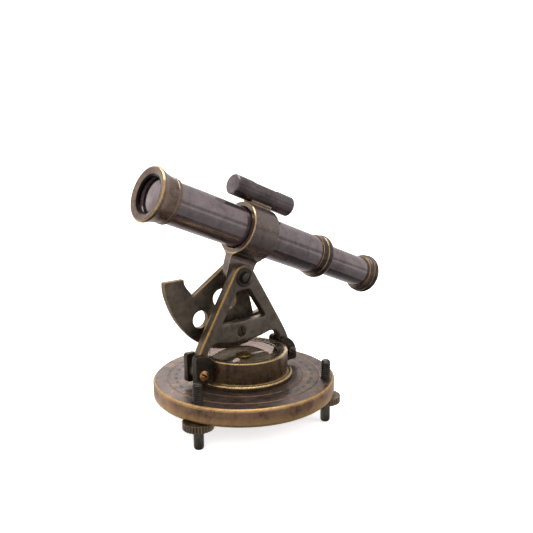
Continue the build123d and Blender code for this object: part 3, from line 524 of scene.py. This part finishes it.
def add_marks(shape, count, inner_of, outer_of, width, levels):
    """A circle of marks; their inner and outer radii follow from their index."""
    for k in range(count):
        bar(shape, 2 * math.pi * k / count, inner_of(k), outer_of(k), width, levels)


def number(shape, text, angle, radius, height, levels):
    """A number standing on a circle, its foot towards the middle."""
    low, high = levels
    curve = bpy.data.curves.new("tmp_text", "FONT")
    curve.body, curve.size = text, height / 1000
    curve.align_x, curve.align_y = "CENTER", "CENTER"
    curve.extrude = (high - low) / 2000
    curve.resolution_u = 2
    obj = bpy.data.objects.new("tmp_text", curve)
    bpy.context.scene.collection.objects.link(obj)
    bpy.context.view_layer.update()
    depsgraph = bpy.context.evaluated_depsgraph_get()
    mesh = bpy.data.meshes.new_from_object(obj.evaluated_get(depsgraph))
    place = Matrix.Translation((AXIS_X + radius * math.cos(angle) / 1000,
                                AXIS_Y + radius * math.sin(angle) / 1000, (low + high) / 2000))
    mesh.transform(place @ Matrix.Rotation(angle - math.pi / 2, 4, "Z"))
    shape.from_mesh(mesh)
    bpy.data.objects.remove(obj)
    bpy.data.meshes.remove(mesh)


def add_numbers(shape, count, radius, height, levels):
    """Degrees clockwise from +Y."""
    step = 360 // count
    for k in range(count):
        number(shape, str(k * step), math.radians(90 - step * k), radius, height, levels)


def base_scale():
    levels = (BASE_TOP - 0.02, BASE_TOP + 0.025)
    shape = bmesh.new()
    add_marks(shape, 180, lambda k: 25.6, lambda k: 26.7 if k % 5 else 27.6, 0.16, levels)
    add_numbers(shape, 36, radius=33.9, height=2.3, levels=levels)
    add_marks(shape, 72, lambda k: 36.9 if k % 2 else 36.2, lambda k: 37.7, 0.16, levels)
    add_piece("base_scale", shape, groove_mat, "base")


def dial_inner(k):
    if k % 10 == 0:
        return 15.9
    return 16.9 if k % 5 else 16.4


def dial_scale():
    levels = (DIAL_TOP - 0.02, DIAL_TOP + 0.04)
    shape = bmesh.new()
    add_marks(shape, 120, dial_inner, lambda k: 17.6, 0.14, levels)
    add_numbers(shape, 12, radius=14.3, height=1.9, levels=levels)
    add_piece("dial_scale", shape, mark_mat, "alidade")


base_scale()
dial_scale()

# ------------------------------------------------------------------ levelling screws
SCREW_CIRCLE = 41
SCREW_ANGLES = (-158.7, -48.1, 76.6)
PITCH, ROOT, CREST = 1.06, 2.0, 2.4
SEAT_TOP, SCREW_TOP = 10.45, 32.1
THREAD_LOW, THREAD_HIGH = 13.85, SCREW_TOP - 0.5
RUNOUT = 0.5            # the thread fades over this height at each end
SCREW_SEGMENTS = 40
STEPS_PER_PITCH = 10

# Radius and height of the plain rings below and above the thread
LOWER = (
    (1.3, 0.0), (1.7, 0.12), (2.05, 0.35), (2.28, 0.75), (2.42, 1.3), (2.42, SEAT_TOP - 1.15),
    (2.2, SEAT_TOP - 0.95), (2.2, SEAT_TOP - 0.6), (ROOT, SEAT_TOP - 0.2),
    (ROOT, THREAD_LOW - 0.02))
UPPER = (
    (ROOT, THREAD_HIGH + 0.02), (1.93, SCREW_TOP - 0.32), (1.6, SCREW_TOP - 0.12),
    (1.2, SCREW_TOP))


def thread_radius(z, angle):
    fade = max(0.0, min(1.0, (z - THREAD_LOW) / RUNOUT, (THREAD_HIGH - z) / RUNOUT))
    turn = ((z - THREAD_LOW) / PITCH - angle / (2 * math.pi)) % 1.0
    rise = min(1.0, max(0.0, (0.5 - abs(turn - 0.5) - 0.14) / 0.28))
    return ROOT + (CREST - ROOT) * rise * fade


def levelling_thread(index, bearing):
    """A screw with a helical thread: dog point, plain seat, thread, rounded end."""
    centre_x = AXIS_X * 1000 + SCREW_CIRCLE * math.cos(math.radians(bearing))
    centre_y = AXIS_Y * 1000 + SCREW_CIRCLE * math.sin(math.radians(bearing))
    angles = [2 * math.pi * j / SCREW_SEGMENTS for j in range(SCREW_SEGMENTS)]
    shape = bmesh.new()

    def vert(radius, angle, z):
        return shape.verts.new(((centre_x + radius * math.cos(angle)) / 1000,
                                (centre_y + radius * math.sin(angle)) / 1000, z / 1000))

    def ring(radii, z):
        return [vert(radius, angle, z) for radius, angle in zip(radii, angles)]

    bottom = vert(0, 0, 0)
    rows = [ring([radius] * SCREW_SEGMENTS, z) for radius, z in LOWER]
    length = THREAD_HIGH - THREAD_LOW
    count = int(length / PITCH * STEPS_PER_PITCH)
    for k in range(count + 1):
        z = THREAD_LOW + length * k / count
        rows.append(ring([thread_radius(z, angle) for angle in angles], z))
    rows += [ring([radius] * SCREW_SEGMENTS, z) for radius, z in UPPER]
    top = vert(0, 0, SCREW_TOP)

    for a, b in zip(rows, rows[1:]):
        for j in range(SCREW_SEGMENTS):
            after = (j + 1) % SCREW_SEGMENTS
            shape.faces.new((a[j], a[after], b[after], b[j]))
    for j in range(SCREW_SEGMENTS):
        after = (j + 1) % SCREW_SEGMENTS
        shape.faces.new((bottom, rows[0][after], rows[0][j]))
        shape.faces.new((top, rows[-1][j], rows[-1][after]))
    smooth(shape)
    screw = add_piece(f"levelling_thread_{index}", shape, thread_mat, f"screw_{index}")
    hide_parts(f"levelling_screw_{index}")


for index, bearing in enumerate(SCREW_ANGLES, 1):
    levelling_thread(index, bearing)


# ------------------------------------------------------------------ level bubble
def vial_bubble():
    """Long along the vial and flattened underneath; half sizes in metres."""
    half_length, half_width, above, below, lift = 0.0030, 0.0011, 0.0006, 0.0003, 0.0012
    centre = on_telescope(-0.6, TUBE_UP + 18.8, TUBE_Y)
    shape = bmesh.new()
    bmesh.ops.create_icosphere(shape, subdivisions=3, radius=1.0)
    for vert in shape.verts:
        x, y, z = vert.co
        vert.co = (centre + SIGHT * (x * half_length) + Vector((0, 1, 0)) * (y * half_width)
                   + RISE * (z * (above if z > 0 else below) + lift))
    smooth(shape)
    add_piece("vial_bubble", shape, bubble_mat, "telescope")


vial_bubble()


# ------------------------------------------------------------------ stage
def sweep_material():
    """Softly glowing paper for the camera, transparent to every other ray."""
    material, net = new_material("sweep_paper")
    seen = net.node("ShaderNodeLightPath").outputs["Is Camera Ray"]
    paper = net.node("ShaderNodeBsdfDiffuse", {0: (0.93, 0.93, 0.93, 1.0)}).outputs[0]
    glow = net.node("ShaderNodeEmission", {0: (1.0, 1.0, 1.0, 1.0), 1: 0.62}).outputs[0]
    both = net.node("ShaderNodeAddShader", {0: paper, 1: glow}).outputs[0]
    unseen = net.node("ShaderNodeBsdfTransparent", {0: (1, 1, 1, 1)}).outputs[0]
    net.finish(net.node("ShaderNodeMixShader", {0: seen, 1: unseen, 2: both}))
    return material


def paper_sweep():
    """Floor curving up into a wall behind the object, in metres."""
    near, bend, radius, top, half_width, drop = -1.2, 0.55, 0.35, 1.6, 1.6, 0.0002
    steps = 12
    material = sweep_material()
    profile = [(near, 0.0), (bend, 0.0)]
    for k in range(1, steps + 1):
        angle = math.pi / 2 * k / steps
        profile.append((bend + radius * math.sin(angle), radius * (1 - math.cos(angle))))
    profile.append((bend + radius, top))
    shape = bmesh.new()
    left, right = [[shape.verts.new(AHEAD * ahead + LEFT * side + Vector((0, 0, z - drop)))
                    for ahead, z in profile] for side in (half_width, -half_width)]
    for k in range(len(profile) - 1):
        shape.faces.new((left[k], right[k], right[k + 1], left[k + 1]))
    smooth(shape)
    link_mesh("paper_sweep", shape, material)


paper_sweep()

# ------------------------------------------------------------------ world
# Brightness by height: position 0 straight down, 0.5 level, 1 straight up.
# Camera side: dark floor, a thin bright line at the window, grey room
NEAR_STOPS = (
    (0.0, 0.04), (0.09, 0.03), (0.105, 0.36), (0.125, 0.24), (0.25, 0.28), (0.38, 0.38),
    (0.402, 0.46), (0.415, 0.90), (0.43, 0.90), (0.445, 0.42), (0.50, 0.30), (0.53, 0.20),
    (0.56, 0.56), (0.60, 0.64), (0.75, 0.66), (1.0, 0.68))
# Behind the object: pale paper
FAR_STOPS = (
    (0.0, 0.04), (0.08, 0.40), (0.20, 0.70), (0.42, 0.80), (0.50, 0.80), (0.60, 0.64),
    (0.80, 0.62), (1.0, 0.66))


def studio_world():
    world = bpy.data.worlds.new("studio")
    bpy.context.scene.world = world
    net = Graph(world, "ShaderNodeOutputWorld")
    direction = net.node("ShaderNodeTexCoord").outputs["Generated"]
    z = net.height(direction)

    def stack(stops):
        return net.ramp(net.remap(z, -1.0, 1.0),
                        [(place, (v, v * 0.975, v * 0.985, 1)) for place, v in stops])

    ahead = net.vector("DOT_PRODUCT", direction, AHEAD)
    both = net.mix(net.remap(ahead, 0.05, 0.55), stack(NEAR_STOPS), stack(FAR_STOPS))
    # the room is lighter to the left of the camera
    left = net.vector("DOT_PRODUCT", direction, LEFT)
    lit = net.vector("SCALE", both, net.remap(left, 0.25, 0.85, (1.0, 1.55)))
    room = net.node("ShaderNodeBackground", {0: lit, 1: 1.1}).outputs[0]
    # seen directly the room is plain white; mirrors and light see the ramps
    paper = net.node("ShaderNodeBackground", {0: (1.0, 1.0, 1.0, 1.0), 1: 1.15}).outputs[0]
    seen = net.node("ShaderNodeLightPath").outputs["Is Camera Ray"]
    net.finish(net.node("ShaderNodeMixShader", {0: seen, 1: room, 2: paper}))


studio_world()


# ------------------------------------------------------------------ lights
def softbox(name, place, target, size, power, mirrored=True):
    light = bpy.data.lights.new(name, "AREA")
    light.shape, light.size, light.size_y = "RECTANGLE", size[0], size[1]
    light.energy = power
    obj = bpy.data.objects.new(name, light)
    bpy.context.scene.collection.objects.link(obj)
    obj.location = place
    obj.rotation_mode = "QUATERNION"
    obj.rotation_quaternion = (Vector(target) - Vector(place)).to_track_quat("-Z", "Y")
    obj.visible_glossy = mirrored


softbox("key", (-0.50, -0.45, 0.50), target=(0, 0, 0.06), size=(0.50, 0.40), power=2.5,
        mirrored=False)
softbox("fill", (0.45, -0.60, 0.35), target=(0, 0, 0.06), size=(0.35, 0.45), power=2.0,
        mirrored=False)
softbox("overhead", (0.05, 0.10, 0.75), target=(0, 0, 0), size=(0.6, 0.6), power=4.0)
softbox("rim", (0.30, 0.60, 0.40), target=(0, 0, 0.07), size=(0.4, 0.3), power=1.0)


# ------------------------------------------------------------------ camera and render
def add_camera():
    data = bpy.data.cameras.new("camera")
    data.sensor_width, data.lens = 36.0, 46.827
    data.clip_start, data.clip_end = 0.01, 10.0
    camera = bpy.data.objects.new("camera", data)
    bpy.context.scene.collection.objects.link(camera)
    right = Vector((0.7695878, -0.6385066, -0.0066232))
    up = Vector((0.1366945, 0.1546073, 0.9784739))
    back = Vector((-0.6237381, -0.753927, 0.2062643))
    turn = Matrix((right, up, back)).transposed().to_4x4()
    camera.matrix_world = Matrix.Translation((-0.223586, -0.263589, 0.147698)) @ turn
    bpy.context.scene.camera = camera


add_camera()
scene = bpy.context.scene
scene.view_settings.view_transform = "Standard"
scene.view_settings.look = "None"
scene.cycles.use_denoising = True
scene.cycles.max_bounces = 6
scene.cycles.transparent_max_bounces = 12
scene.cycles.sample_clamp_indirect = 4.0
